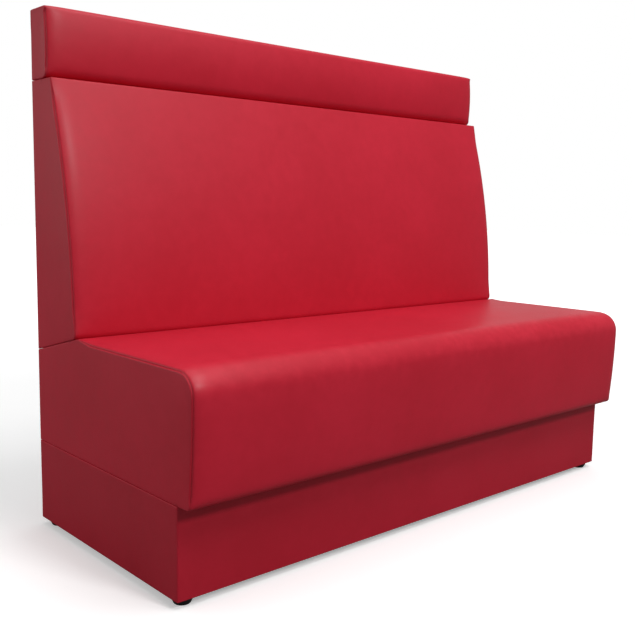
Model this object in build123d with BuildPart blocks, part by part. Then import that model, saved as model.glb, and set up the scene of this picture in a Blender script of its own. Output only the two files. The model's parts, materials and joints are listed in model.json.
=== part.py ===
"""High-backed restaurant booth bench: a plinth, a sprung seat, a curved back and a padded head.

Millimetres. The origin is on the floor under the middle of the bench. X runs along the bench,
the rear face is at +Y, the sitter faces -Y, and +Z is up. Left is the -X end.
"""

import os
from math import sqrt

from build123d import *

os.makedirs("parts", exist_ok=True)

# Overall sizes of the bench
width = 1400
depth = 625
height = 1135
seat_height = 451
plinth_top = 197
head_height = 148
toe_recess = 58

# Glides under the plinth
glide_height = 15
glide_top_radius = 22
glide_foot_radius = 16
glide_rim = 3
glide_inset = 29
glide_bore_play = 0.25
glide_recess_depth = 7
glide_screw_radius = 4
glide_screw_length = 42
glide_head_radius = 6.5
glide_head_height = 4.5
insert_radius = 6
insert_length = 24
insert_play = 0.05

# Upholstery skin
vinyl = 1.2
cover_gap = 0.3
skin = vinyl + cover_gap
section_gap = 0.3
return_width = 18
cloth = 0.8
wadding = 8

# Boards of the frames
board = 18
panel = 6
rail_width = 80
corner_block = 60
corner_block_height = 100

# Seat section
seat_roll_radius = 50
seat_toe_radius = 12
seat_front_lean = 9
seat_top_swell = 6
seat_front_swell = 3
seat_front_foam = 25
seat_foam_thickness = 64
joint_rear_drop = 47

# Sinuous springs of the seat
wire_radius = 1.9
spring_count = 9
spring_turns = 14
spring_run = 26
clip_metal = 1.2
clip_play = 0.1
clip_width = 16
clip_tail = 12
felt = 3
batten_width = 30
batten_height = 40

# Back section
back_foot_depth = 192
back_crest_depth = 96
back_mid_depth = 168
back_swell = 8
back_crest_radius = 14
back_foam = 40

# Head section
head_depth = 90
head_swell = 12
head_front_foam = 10
head_top_foam = 8
head_chin_radius = 22
head_brow_radius = 12
head_bulge = 4
head_board = 15

# Screws and bolts
screw_radius = 2.25
screw_head_radius = 4.5
screw_head_height = 3.5
screw_length = 50
screw_play = 0.05
bolt_radius = 3.9
bolt_head_radius = 7.2
bolt_head_height = 5.3
bolt_spare = 4
bolt_play = 0.3
washer_radius = 12
washer_thickness = 1.6
tee_radius = 11
tee_flange = 1.5
tee_barrel_radius = 5
tee_barrel_length = 11
tee_play = 0.1

# Swelling of the soft sections, from one end of the bench to the other
station_shares = (0, 0.04, 0.12, 0.28, 0.5, 0.72, 0.88, 0.96, 1)
swell_shares = (0.06, 0.58, 0.87, 0.98, 1, 0.98, 0.87, 0.58, 0.06)
inner_rib_share = 1 / 3
bolt_place_share = 2 / 3
inner_screw_share = 2 / 9
edge_screw_shares = (1 / 4, 3 / 4)
third_share = 1 / 3
clip_tail_share = 1 / 4
lean_share = 1 / 4
crown_share = 3 / 4
overrun = 20

# Planes and lines that the sections share
half_width = width / 2
rear_y = depth / 2
front_y = -depth / 2
frame_half = half_width - skin
frame_rear = rear_y - skin
inside_half = frame_half - board
plinth_front = front_y + toe_recess
back_top = height - head_height
crease_y = rear_y - back_foot_depth
joint_slope = joint_rear_drop / back_foot_depth
slope_stretch = sqrt(1 + joint_slope**2)
slope_skin = skin * slope_stretch
slope_board = board * slope_stretch
rib_x = inner_rib_share * half_width
bolt_x = bolt_place_share * half_width
hands = ((-1, "left"), (1, "right"))
row_shares = (-bolt_place_share, -inner_screw_share, inner_screw_share, bolt_place_share)
diagonal_share = sqrt(1 / 2)

# Levels inside the seat
deck_top = seat_height - seat_foam_thickness
felt_bottom = deck_top - felt
clip_height = 2 * (wire_radius + clip_play + clip_metal)
rail_top = felt_bottom - cover_gap - clip_height
spring_z = rail_top + clip_height / 2
seat_frame_bottom = plinth_top + skin
seat_board_front = front_y + skin + seat_front_foam
seat_board_back = seat_board_front + board

# Boards inside the head, whose cavity takes the tee nuts
head_foam_front = rear_y - head_depth + head_swell + head_bulge + wadding + skin
head_board_front = head_foam_front + head_front_foam
head_inner_front = head_board_front + head_board


def side_plane(x):
    """Plane across the bench at x, whose own axes are the bench's Y and Z."""
    return Plane(origin=(x, 0, 0), x_dir=(0, 1, 0), z_dir=(1, 0, 0))


def joint_z(y):
    """Height of the sloping joint between the seat and the back."""
    return seat_height - joint_slope * (y - crease_y)


def block(low, high, mode=Mode.ADD):
    """Straight block between two opposite corners."""
    size = [b - a for a, b in zip(low, high)]
    centre = [(a + b) / 2 for a, b in zip(low, high)]
    with Locations(Vector(*centre)):
        Box(*size, mode=mode)


def end_board(side, y_low, y_high, z_low, z_high, thickness=board):
    """Upright board whose outer face is at one end of the frame."""
    outer = side * frame_half
    inner = side * (frame_half - thickness)
    block((min(outer, inner), y_low, z_low), (max(outer, inner), y_high, z_high))


def seat_outline(x, swell):
    """Side profile of the seat: rolled front, crowned top, and a rear slope that carries the back."""
    top = seat_height + swell * seat_top_swell
    front = front_y + (1 - swell) * seat_front_swell
    toe = seat_toe_radius
    roll = seat_roll_radius
    toe_y = front + seat_front_lean
    toe_bend = toe * (1 - diagonal_share)
    roll_bend = roll * (1 - diagonal_share)
    toe_z = plinth_top + toe
    face = (front + lean_share * seat_front_lean, (toe_z + top - roll) / 2)
    crown = ((front + roll + crease_y) / 2, seat_height + crown_share * (top - seat_height))
    with BuildSketch(side_plane(x)) as outline:
        with BuildLine():
            Line((rear_y, plinth_top), (toe_y + toe, plinth_top))
            ThreePointArc(
                (toe_y + toe, plinth_top), (toe_y + toe_bend, plinth_top + toe_bend), (toe_y, toe_z)
            )
            ThreePointArc((toe_y, toe_z), face, (front, top - roll))
            ThreePointArc((front, top - roll), (front + roll_bend, top - roll_bend), (front + roll, top))
            ThreePointArc((front + roll, top), crown, (crease_y, seat_height))
            Line((crease_y, seat_height), (rear_y, joint_z(rear_y)))
            Line((rear_y, joint_z(rear_y)), (rear_y, plinth_top))
        make_face()
    return outline.sketch


def seat_core(x, inset):
    """Side profile inside the seat's wadding, the same from end to end."""
    rear = rear_y - inset
    low = plinth_top + inset
    top = seat_height - wadding - inset
    front = front_y + seat_front_swell + wadding + inset
    roll = seat_roll_radius - wadding - inset
    roll_bend = roll * (1 - diagonal_share)
    slope_inset = inset * slope_stretch
    with BuildSketch(side_plane(x)) as outline:
        with BuildLine():
            Line((front + seat_front_lean, low), (front, top - roll))
            ThreePointArc((front, top - roll), (front + roll_bend, top - roll_bend), (front + roll, top))
            Polyline(
                (front + roll, top),
                (crease_y, top),
                (crease_y, joint_z(crease_y) - slope_inset),
                (rear, joint_z(rear) - slope_inset),
                (rear, low),
                (front + seat_front_lean, low),
            )
        make_face()
    return outline.sketch


def back_front_points(swell):
    """Foot, middle and crest of the back's convex front."""
    foot_y = rear_y - back_foot_depth + (1 - swell) * back_swell
    mid_y = rear_y - back_mid_depth + (1 - swell) * back_swell
    crest_z = back_top - back_crest_radius
    foot = (foot_y, joint_z(foot_y) + section_gap)
    middle = (mid_y, (seat_height + crest_z) / 2)
    crest = (rear_y - back_crest_depth, crest_z)
    return foot, middle, crest


def back_outline(x, swell):
    """Side profile of the back: a wedge with a convex front that rolls in under the head."""
    foot, middle, crest = back_front_points(swell)
    roll = back_crest_radius
    roll_bend = roll * (1 - diagonal_share)
    rear_z = joint_z(rear_y) + section_gap
    with BuildSketch(side_plane(x)) as outline:
        with BuildLine():
            Line((rear_y, rear_z), foot)
            ThreePointArc(foot, middle, crest)
            ThreePointArc(
                crest, (crest[0] + roll_bend, back_top - roll_bend), (crest[0] + roll, back_top)
            )
            Line((crest[0] + roll, back_top), (rear_y, back_top))
            Line((rear_y, back_top), (rear_y, rear_z))
        make_face()
    return outline.sketch


back_arc = ThreePointArc(*back_front_points(0))


def back_face_y(z, inset):
    """Where a level meets the back's front curve, drawn in by an inset."""
    reach = back_arc.radius - inset
    return back_arc.arc_center.X - sqrt(reach**2 - (z - back_arc.arc_center.Y) ** 2)


def back_core(x, face_inset, rear, low_offset, top):
    """Side profile of the back behind a parallel of its front curve, up to a level top."""
    foot_y = back_face_y(seat_height, face_inset)
    foot_z = joint_z(foot_y) + low_offset
    foot = (back_face_y(foot_z, face_inset), foot_z)
    middle_z = (foot_z + top) / 2
    middle = (back_face_y(middle_z, face_inset), middle_z)
    crest = (back_face_y(top, face_inset), top)
    with BuildSketch(side_plane(x)) as outline:
        with BuildLine():
            ThreePointArc(foot, middle, crest)
            Polyline(crest, (rear, top), (rear, joint_z(rear) + low_offset), foot)
        make_face()
    return outline.sketch


def head_outline(x, swell):
    """Side profile of the head: a padded front that rolls under at its chin."""
    low = back_top + section_gap
    front = rear_y - head_depth + (1 - swell) * head_swell
    chin_bend = head_chin_radius * (1 - diagonal_share)
    brow_bend = head_brow_radius * (1 - diagonal_share)
    chin_y = front + head_bulge / 2
    brow_y = front + head_bulge
    chin_z = low + head_chin_radius
    brow_z = height - head_brow_radius
    chin_back = (chin_y + head_chin_radius, low)
    brow_back = (brow_y + head_brow_radius, height)
    with BuildSketch(side_plane(x)) as outline:
        with BuildLine():
            Line((rear_y, low), chin_back)
            ThreePointArc(chin_back, (chin_y + chin_bend, low + chin_bend), (chin_y, chin_z))
            ThreePointArc((chin_y, chin_z), (front, (chin_z + brow_z) / 2), (brow_y, brow_z))
            ThreePointArc((brow_y, brow_z), (brow_y + brow_bend, height - brow_bend), brow_back)
            Line(brow_back, (rear_y, height))
            Line((rear_y, height), (rear_y, low))
        make_face()
    return outline.sketch


def head_core(x, inset):
    """Side profile inside the head's wadding, the same from end to end."""
    rear = rear_y - inset
    low = back_top + section_gap + inset
    top = height - wadding - inset
    front = rear_y - head_depth + head_swell + head_bulge + wadding + inset
    chin = head_chin_radius - wadding - inset
    chin_bend = chin * (1 - diagonal_share)
    with BuildSketch(side_plane(x)) as outline:
        with BuildLine():
            ThreePointArc(
                (front + chin, low), (front + chin_bend, low + chin_bend), (front, low + chin)
            )
            Polyline((front, low + chin), (front, top), (rear, top), (rear, low), (front + chin, low))
        make_face()
    return outline.sketch


def soft_form(outline):
    """A soft section, lofted from end to end and fuller in the middle than at its ends."""
    reach = half_width - vinyl
    with BuildPart() as form:
        sections = []
        for place, swell in zip(station_shares, swell_shares):
            sections.append(outline((2 * place - 1) * reach, swell))
        loft(sections)
    return form.part


def side_cover(outline, side):
    """Flat vinyl panel over one end of a soft section."""
    face = outline(side * half_width, swell_shares[0])
    extrude(face, amount=-side * vinyl)


# Wood screws, each with its countersunk head on a plane that faces outwards


def screw_place(point, outward):
    """Place of a wood screw whose head faces outwards."""
    return Plane(origin=point, z_dir=outward).location


def screws(places, play=0, mode=Mode.ADD):
    """Countersunk screws, or the holes for them when play is given and the mode cuts."""
    with Locations(*places):
        Cylinder(
            screw_radius + play,
            screw_length + play,
            align=(Align.CENTER, Align.CENTER, Align.MAX),
            mode=mode,
        )
        Cone(
            screw_radius + play,
            screw_head_radius + play,
            screw_head_height,
            align=(Align.CENTER, Align.CENTER, Align.MAX),
            mode=mode,
        )


def drill(places):
    """Cuts the holes of a set of wood screws."""
    screws(places, screw_play, Mode.SUBTRACT)


# Bolts between the sections: each place has its origin under the washer and its Z along the bolt


def bolts(places, grip):
    """Hexagon bolts that pass a stack of boards and reach past the tee nuts."""
    lift = Align.MIN
    head = Align.MAX
    with Locations(*[place * Pos(0, 0, -washer_thickness) for place in places]):
        Cylinder(
            bolt_radius,
            washer_thickness + grip + tee_flange + bolt_spare,
            align=(Align.CENTER, Align.CENTER, lift),
        )
        Cylinder(bolt_head_radius, bolt_head_height, align=(Align.CENTER, Align.CENTER, head))


def flat_washers(places):
    """Flat washers under the bolt heads."""
    with Locations(*places):
        Cylinder(washer_radius, washer_thickness, align=(Align.CENTER, Align.CENTER, Align.MAX))
        Cylinder(
            bolt_radius + bolt_play,
            washer_thickness,
            align=(Align.CENTER, Align.CENTER, Align.MAX),
            mode=Mode.SUBTRACT,
        )


def sunk_nuts(places, grip):
    """Tee nuts, with the flange on the far board and the barrel sunk into it."""
    with Locations(*[place * Pos(0, 0, grip) for place in places]):
        Cylinder(tee_radius, tee_flange, align=(Align.CENTER, Align.CENTER, Align.MIN))
        Cylinder(
            tee_barrel_radius, tee_barrel_length, align=(Align.CENTER, Align.CENTER, Align.MAX)
        )
        Cylinder(
            bolt_radius + tee_play,
            2 * (tee_barrel_length + tee_flange),
            mode=Mode.SUBTRACT,
        )


def bolt_holes(places, grip):
    """Clearance holes through a stack, opened out where the tee nuts sit."""
    with Locations(*places):
        Cylinder(bolt_radius + bolt_play, 2 * grip, mode=Mode.SUBTRACT)
    with Locations(*[place * Pos(0, 0, grip) for place in places]):
        Cylinder(
            tee_barrel_radius + tee_play,
            tee_barrel_length + tee_play,
            align=(Align.CENTER, Align.CENTER, Align.MAX),
            mode=Mode.SUBTRACT,
        )


# Plinth frame

plinth_low = glide_height + skin
plinth_high = plinth_top - skin
plinth_board_front = plinth_front + skin
plinth_inner_front = plinth_board_front + board
plinth_inner_rear = frame_rear - board
plinth_mid_z = (plinth_low + plinth_high) / 2
screw_pitch = (plinth_high - plinth_low) / 2
end_board_mid = frame_half - board / 2

plinth_front_screws = []
plinth_rear_screws = []
for side, hand in hands:
    for step in (-1, 1):
        level = plinth_mid_z + step * screw_pitch / 2
        front_point = (side * end_board_mid, plinth_board_front, level)
        rear_point = (side * end_board_mid, frame_rear, level)
        plinth_front_screws.append(screw_place(front_point, (0, -1, 0)))
        plinth_rear_screws.append(screw_place(rear_point, (0, 1, 0)))
plinth_screw_places = plinth_front_screws + plinth_rear_screws

with BuildPart() as plinth_front_board:
    block(
        (-frame_half, plinth_board_front, plinth_low), (frame_half, plinth_inner_front, plinth_high)
    )
    drill(plinth_front_screws)
plinth_front_board.part.label = "plinth_front_board"
export_step(plinth_front_board.part, "parts/plinth_front_board.step")

with BuildPart() as plinth_rear_board:
    block((-frame_half, plinth_inner_rear, plinth_low), (frame_half, frame_rear, plinth_high))
    drill(plinth_rear_screws)
plinth_rear_board.part.label = "plinth_rear_board"
export_step(plinth_rear_board.part, "parts/plinth_rear_board.step")

for side, hand in hands:
    with BuildPart() as plinth_end_board:
        end_board(side, plinth_inner_front, plinth_inner_rear, plinth_low, plinth_high)
        drill(plinth_screw_places)
    plinth_end_board.part.label = f"plinth_end_board_{hand}"
    export_step(plinth_end_board.part, f"parts/plinth_end_board_{hand}.step")

with BuildPart() as plinth_cross_boards:
    for side, hand in hands:
        block(
            (side * rib_x - board / 2, plinth_inner_front, plinth_low),
            (side * rib_x + board / 2, plinth_inner_rear, plinth_high),
        )
plinth_cross_boards.part.label = "plinth_cross_boards"
export_step(plinth_cross_boards.part, "parts/plinth_cross_boards.step")

# Rails along which the seat is bolted to the plinth

plinth_rail_bottom = plinth_top - board
seat_rail_top = seat_frame_bottom + board
seat_bolt_grip = seat_rail_top - plinth_rail_bottom
seat_bolt_reach = third_share * (plinth_inner_rear - plinth_inner_front)
plinth_mid_y = (plinth_inner_front + plinth_inner_rear) / 2
seat_bolt_places = []
for side, hand in hands:
    for step in (-1, 1):
        bolt_point = (side * bolt_x, plinth_mid_y + step * seat_bolt_reach, plinth_rail_bottom)
        seat_bolt_places.append(Plane(origin=bolt_point).location)

with BuildPart() as plinth_top_rails:
    for side, hand in hands:
        block(
            (side * bolt_x - rail_width / 2, plinth_inner_front, plinth_rail_bottom),
            (side * bolt_x + rail_width / 2, plinth_inner_rear, plinth_top),
        )
    bolt_holes(seat_bolt_places, seat_bolt_grip)
plinth_top_rails.part.label = "plinth_top_rails"
export_step(plinth_top_rails.part, "parts/plinth_top_rails.step")

# Corner blocks, glides and the screws that hold them

glide_places = []
for side, hand in hands:
    glide_x = side * (half_width - glide_inset)
    glide_places.append((glide_x, plinth_front + glide_inset, f"front_{hand}"))
    glide_places.append((glide_x, rear_y - glide_inset, f"rear_{hand}"))
glide_points = [(x, y, glide_height) for x, y, name in glide_places]

with BuildPart() as plinth_corner_blocks:
    for side, hand in hands:
        inner = side * inside_half
        outer = side * (inside_half - corner_block)
        block_top = glide_height + corner_block_height
        block(
            (min(inner, outer), plinth_inner_front, glide_height),
            (max(inner, outer), plinth_inner_front + corner_block, block_top),
        )
        block(
            (min(inner, outer), plinth_inner_rear - corner_block, glide_height),
            (max(inner, outer), plinth_inner_rear, block_top),
        )
    with Locations(*glide_points):
        Cylinder(insert_radius + insert_play, 2 * insert_length, mode=Mode.SUBTRACT)
        Cylinder(
            glide_screw_radius + glide_bore_play, 2 * glide_screw_length, mode=Mode.SUBTRACT
        )
plinth_corner_blocks.part.label = "plinth_corner_blocks"
export_step(plinth_corner_blocks.part, "parts/plinth_corner_blocks.step")

with BuildPart() as glide_inserts:
    with Locations(*glide_points):
        Cylinder(insert_radius, insert_length, align=(Align.CENTER, Align.CENTER, Align.MIN))
        Cylinder(
            glide_screw_radius + insert_play, 2 * insert_length + insert_play, mode=Mode.SUBTRACT
        )
glide_inserts.part.label = "glide_inserts"
export_step(glide_inserts.part, "parts/glide_inserts.step")

for x, y, place in glide_places:
    with BuildPart() as glide:
        with BuildSketch(Plane(origin=(x, y, 0), x_dir=(1, 0, 0), z_dir=(0, -1, 0))):
            with BuildLine():
                Polyline(
                    (0, 0),
                    (glide_foot_radius, 0),
                    (glide_top_radius, glide_height - glide_rim),
                    (glide_top_radius, glide_height),
                    (0, glide_height),
                    close=True,
                )
            make_face()
        revolve(axis=Axis((x, y, 0), (0, 0, 1)))
        foot_edges = glide.edges().filter_by(GeomType.CIRCLE).group_by(Axis.Z)[0]
        fillet(foot_edges, glide_rim / 2)
        with Locations((x, y, 0)):
            Cylinder(
                glide_head_radius + glide_bore_play, 2 * glide_recess_depth, mode=Mode.SUBTRACT
            )
            Cylinder(
                glide_screw_radius + glide_bore_play, 2 * glide_screw_length, mode=Mode.SUBTRACT
            )
    glide.part.label = f"glide_{place}"
    export_step(glide.part, f"parts/glide_{place}.step")

with BuildPart() as glide_screws:
    with Locations(*[(x, y, glide_recess_depth) for x, y, name in glide_places]):
        Cylinder(glide_head_radius, glide_head_height, align=(Align.CENTER, Align.CENTER, Align.MAX))
        Cylinder(
            glide_screw_radius, glide_screw_length, align=(Align.CENTER, Align.CENTER, Align.MIN)
        )
glide_screws.part.label = "glide_screws"
export_step(glide_screws.part, "parts/glide_screws.step")

# Plinth cover: vinyl round all four sides, turned in over the top and bottom edges

with BuildPart() as plinth_cover:
    block((-half_width, plinth_front, glide_height), (half_width, rear_y, plinth_top))
    fillet(plinth_cover.edges().filter_by(Axis.Z), 2 * vinyl)
    block(
        (-half_width + vinyl, plinth_front + vinyl, glide_height + vinyl),
        (half_width - vinyl, rear_y - vinyl, plinth_top - vinyl),
        mode=Mode.SUBTRACT,
    )
    block(
        (-half_width + return_width, plinth_front + return_width, glide_height - overrun),
        (half_width - return_width, rear_y - return_width, plinth_top + overrun),
        mode=Mode.SUBTRACT,
    )
plinth_cover.part.label = "plinth_cover"
export_step(plinth_cover.part, "parts/plinth_cover.step")

# Seat frame

seat_mid_back = crease_y + board
bearer_top_drop = slope_skin
bearer_low_drop = slope_skin + slope_board
rear_board_front = frame_rear - board

seat_screw_places = []
front_level = (seat_frame_bottom + rail_top) / 2
level_reach = third_share * (rail_top - seat_frame_bottom)
for side, hand in hands:
    for y in (
        seat_board_front + board / 2,
        crease_y + board / 2,
        frame_rear - board / 2,
    ):
        for step in (-1, 1):
            head_point = (side * frame_half, y, front_level + step * level_reach)
            seat_screw_places.append(screw_place(head_point, (side, 0, 0)))

with BuildPart() as seat_front_board:
    block((-inside_half, seat_board_front, seat_frame_bottom), (inside_half, seat_board_back, rail_top))
    drill(seat_screw_places)
seat_front_board.part.label = "seat_front_board"
export_step(seat_front_board.part, "parts/seat_front_board.step")


def under_bearer(x_low, x_high, y_low, y_high, z_low):
    """Board below the bearer, whose top edge follows the bearer's slope."""
    with BuildSketch(side_plane(x_low)) as outline:
        with BuildLine():
            Polyline(
                (y_low, z_low),
                (y_high, z_low),
                (y_high, joint_z(y_high) - bearer_low_drop),
                (y_low, joint_z(y_low) - bearer_low_drop),
                close=True,
            )
        make_face()
    extrude(outline.sketch, amount=x_high - x_low)


with BuildPart() as seat_middle_board:
    under_bearer(-inside_half, inside_half, crease_y, seat_mid_back, seat_rail_top)
    drill(seat_screw_places)
seat_middle_board.part.label = "seat_middle_board"
export_step(seat_middle_board.part, "parts/seat_middle_board.step")

with BuildPart() as seat_rear_board:
    under_bearer(-inside_half, inside_half, rear_board_front, frame_rear, seat_frame_bottom)
    drill(seat_screw_places)
seat_rear_board.part.label = "seat_rear_board"
export_step(seat_rear_board.part, "parts/seat_rear_board.step")

for side, hand in hands:
    with BuildPart() as seat_end_board:
        edge_x = min(side * frame_half, side * inside_half)
        with BuildSketch(side_plane(edge_x)) as outline:
            with BuildLine():
                Polyline(
                    (seat_board_front, seat_frame_bottom),
                    (frame_rear, seat_frame_bottom),
                    (frame_rear, joint_z(frame_rear) - bearer_low_drop),
                    (crease_y, joint_z(crease_y) - bearer_low_drop),
                    (crease_y, deck_top),
                    (seat_board_front, deck_top),
                    close=True,
                )
            make_face()
        extrude(amount=board)
        drill(seat_screw_places)
    seat_end_board.part.label = f"seat_end_board_{hand}"
    export_step(seat_end_board.part, f"parts/seat_end_board_{hand}.step")

with BuildPart() as seat_bottom_rails:
    for side, hand in hands:
        block(
            (side * bolt_x - rail_width / 2, seat_board_back, seat_frame_bottom),
            (side * bolt_x + rail_width / 2, rear_board_front, seat_rail_top),
        )
    bolt_holes(seat_bolt_places, seat_bolt_grip)
seat_bottom_rails.part.label = "seat_bottom_rails"
export_step(seat_bottom_rails.part, "parts/seat_bottom_rails.step")

# Bolts that hold the back down, square to the sloping joint

slope_normal = (0, joint_slope / slope_stretch, 1 / slope_stretch)
back_bolt_grip = 2 * board + 2 * skin + section_gap / slope_stretch
back_bolt_y = rear_y - back_foot_depth / 2 + back_foam / 2
back_bolt_z = joint_z(back_bolt_y) - bearer_low_drop
back_bolt_places = []
for share in row_shares:
    back_bolt_point = (share * half_width, back_bolt_y, back_bolt_z)
    back_bolt_plane = Plane(origin=back_bolt_point, x_dir=(1, 0, 0), z_dir=slope_normal)
    back_bolt_places.append(back_bolt_plane.location)


def sloping_board(reach, y_low, y_high, offset_low, offset_high):
    """Board parallel to the joint between the seat and the back, at heights measured from it."""
    with BuildSketch(side_plane(-reach)) as outline:
        with BuildLine():
            Polyline(
                (y_low, joint_z(y_low) + offset_low),
                (y_high, joint_z(y_high) + offset_low),
                (y_high, joint_z(y_high) + offset_high),
                (y_low, joint_z(y_low) + offset_high),
                close=True,
            )
        make_face()
    extrude(outline.sketch, amount=2 * reach)


with BuildPart() as seat_back_bearer:
    sloping_board(frame_half, crease_y, frame_rear, -bearer_low_drop, -bearer_top_drop)
    bolt_holes(back_bolt_places, back_bolt_grip)
seat_back_bearer.part.label = "seat_back_bearer"
export_step(seat_back_bearer.part, "parts/seat_back_bearer.step")

with BuildPart() as seat_spring_batten:
    block(
        (-inside_half, crease_y - batten_width, rail_top - batten_height),
        (inside_half, crease_y, rail_top),
    )
seat_spring_batten.part.label = "seat_spring_batten"
export_step(seat_spring_batten.part, "parts/seat_spring_batten.step")

# Sinuous springs: half turns joined by straight runs, clipped to the front board and the batten

spring_front = seat_board_front + board / 2
spring_rear = crease_y - batten_width / 2
turn_radius = (spring_rear - spring_front) / spring_turns / 2
spring_pitch = 2 * inside_half / spring_count
spring_xs = [(index + 1 / 2) * spring_pitch - inside_half for index in range(spring_count)]

with BuildPart() as spring:
    with BuildLine() as wire:
        for turn in range(spring_turns + 1):
            heading = 1 if turn % 2 == 0 else -1
            y = spring_front + 2 * turn * turn_radius
            edge = heading * spring_run / 2
            Line((-edge, y, spring_z), (edge, y, spring_z))
            if turn < spring_turns:
                ThreePointArc(
                    (edge, y, spring_z),
                    (edge + heading * turn_radius, y + turn_radius, spring_z),
                    (edge, y + 2 * turn_radius, spring_z),
                )
    with BuildSketch(Plane(origin=wire.line @ 0, z_dir=wire.line % 0)):
        Circle(wire_radius)
    sweep()

with BuildPart() as seat_springs:
    with Locations(*[(x, 0, 0) for x in spring_xs]):
        add(spring.part)
seat_springs.part.label = "seat_springs"
export_step(seat_springs.part, "parts/seat_springs.step")

with BuildPart() as spring_clips:
    for x in spring_xs:
        for y, tail_way in ((spring_front, -1), (spring_rear, 1)):
            clip_low_x = x - clip_width / 2
            with BuildSketch(side_plane(clip_low_x)):
                with Locations((y, spring_z)):
                    Circle(wire_radius + clip_play + clip_metal)
                with Locations((y + tail_way * clip_tail_share * clip_tail, rail_top + clip_metal / 2)):
                    Rectangle(clip_tail, clip_metal)
                with Locations((y, spring_z)):
                    Circle(wire_radius + clip_play, mode=Mode.SUBTRACT)
            extrude(amount=clip_width)
spring_clips.part.label = "spring_clips"
export_step(spring_clips.part, "parts/spring_clips.step")

with BuildPart() as seat_felt:
    block((-inside_half, seat_board_front, felt_bottom), (inside_half, crease_y, deck_top))
seat_felt.part.label = "seat_felt"
export_step(seat_felt.part, "parts/seat_felt.step")

# Seat upholstery: the cover is vinyl with bonded wadding, thicker where it is crowned

with BuildPart() as seat_foam:
    extrude(seat_core(-frame_half, skin), amount=2 * frame_half)
    block(
        (-half_width, front_y, deck_top + cover_gap),
        (half_width, crease_y - cover_gap, height),
        mode=Mode.INTERSECT,
    )
seat_foam.part.label = "seat_foam"
export_step(seat_foam.part, "parts/seat_foam.step")

with BuildPart() as seat_front_pad:
    extrude(seat_core(-frame_half, skin), amount=2 * frame_half)
    block(
        (-half_width, front_y, glide_height),
        (half_width, seat_board_front - cover_gap, deck_top),
        mode=Mode.INTERSECT,
    )
seat_front_pad.part.label = "seat_front_pad"
export_step(seat_front_pad.part, "parts/seat_front_pad.step")

with BuildPart() as seat_cover:
    add(soft_form(seat_outline))
    extrude(seat_core(-half_width, vinyl), amount=width, mode=Mode.SUBTRACT)
    block(
        (-half_width, seat_board_back, glide_height),
        (half_width, rear_y + overrun, seat_frame_bottom),
        mode=Mode.SUBTRACT,
    )
    block(
        (-half_width, crease_y + 2 * return_width, plinth_top),
        (half_width, rear_y + overrun, height),
        mode=Mode.SUBTRACT,
    )
seat_cover.part.label = "seat_cover"
export_step(seat_cover.part, "parts/seat_cover.step")

for side, hand in hands:
    with BuildPart() as seat_side_cover:
        side_cover(seat_outline, side)
    seat_side_cover.part.label = f"seat_side_cover_{hand}"
    export_step(seat_side_cover.part, f"parts/seat_side_cover_{hand}.step")

cloth_reach = half_width - skin
with BuildPart() as seat_dust_cloth:
    block(
        (-cloth_reach, seat_board_back + cover_gap, plinth_top),
        (cloth_reach, rear_y - skin, plinth_top + cloth),
    )
    with Locations(*seat_bolt_places):
        Cylinder(bolt_radius + bolt_play, 2 * seat_bolt_grip, mode=Mode.SUBTRACT)
seat_dust_cloth.part.label = "seat_dust_cloth"
export_step(seat_dust_cloth.part, "parts/seat_dust_cloth.step")


def rear_lining(low, high):
    """Plain cloth over the rear of one section, just clear of its boards."""
    block((-cloth_reach, frame_rear + cover_gap, low), (cloth_reach, rear_y, high))


with BuildPart() as seat_rear_lining:
    rear_lining(plinth_top, joint_z(rear_y) - skin)
seat_rear_lining.part.label = "seat_rear_lining"
export_step(seat_rear_lining.part, "parts/seat_rear_lining.step")

# Back frame: ribs between a sloping bottom board and a top board, faced with thin panels

core_inset = skin + wadding + back_foam
core_rear = frame_rear - panel
core_top = back_top - skin
bottom_board_low = slope_skin + section_gap
bottom_board_high = bottom_board_low + slope_board


back_screw_places = []
for side, hand in hands:
    for share in edge_screw_shares:
        low_y = core_rear - share * (core_rear - back_face_y(seat_height, core_inset + panel))
        low_z = joint_z(low_y) + (bottom_board_low + bottom_board_high) / 2
        low_point = (side * frame_half, low_y, low_z)
        back_screw_places.append(screw_place(low_point, (side, 0, 0)))
    top_y = (core_rear + back_face_y(core_top, core_inset + panel)) / 2
    top_point = (side * frame_half, top_y, core_top - board / 2)
    back_screw_places.append(screw_place(top_point, (side, 0, 0)))

with BuildPart() as back_bottom_board:
    sloping_board(inside_half, crease_y, core_rear, bottom_board_low, bottom_board_high)
    behind_face = back_core(-inside_half, core_inset + panel, core_rear, section_gap, core_top)
    extrude(behind_face, amount=2 * inside_half, mode=Mode.INTERSECT)
    bolt_holes(back_bolt_places, back_bolt_grip)
    drill(back_screw_places)
back_bottom_board.part.label = "back_bottom_board"
export_step(back_bottom_board.part, "parts/back_bottom_board.step")

head_bolt_bottom = core_top - board
head_frame_bottom = back_top + section_gap + skin
head_bolt_grip = head_frame_bottom + head_board - head_bolt_bottom
head_bolt_y = (head_inner_front + frame_rear) / 2
head_bolt_places = []
for share in row_shares:
    head_bolt_point = (share * half_width, head_bolt_y, head_bolt_bottom)
    head_bolt_places.append(Plane(origin=head_bolt_point).location)

with BuildPart() as back_top_board:
    behind_face = back_core(-inside_half, core_inset + panel, core_rear, bottom_board_low, core_top)
    extrude(behind_face, amount=2 * inside_half)
    block(
        (-half_width, front_y, head_bolt_bottom),
        (half_width, rear_y, height),
        mode=Mode.INTERSECT,
    )
    bolt_holes(head_bolt_places, head_bolt_grip)
    drill(back_screw_places)
back_top_board.part.label = "back_top_board"
export_step(back_top_board.part, "parts/back_top_board.step")

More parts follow.
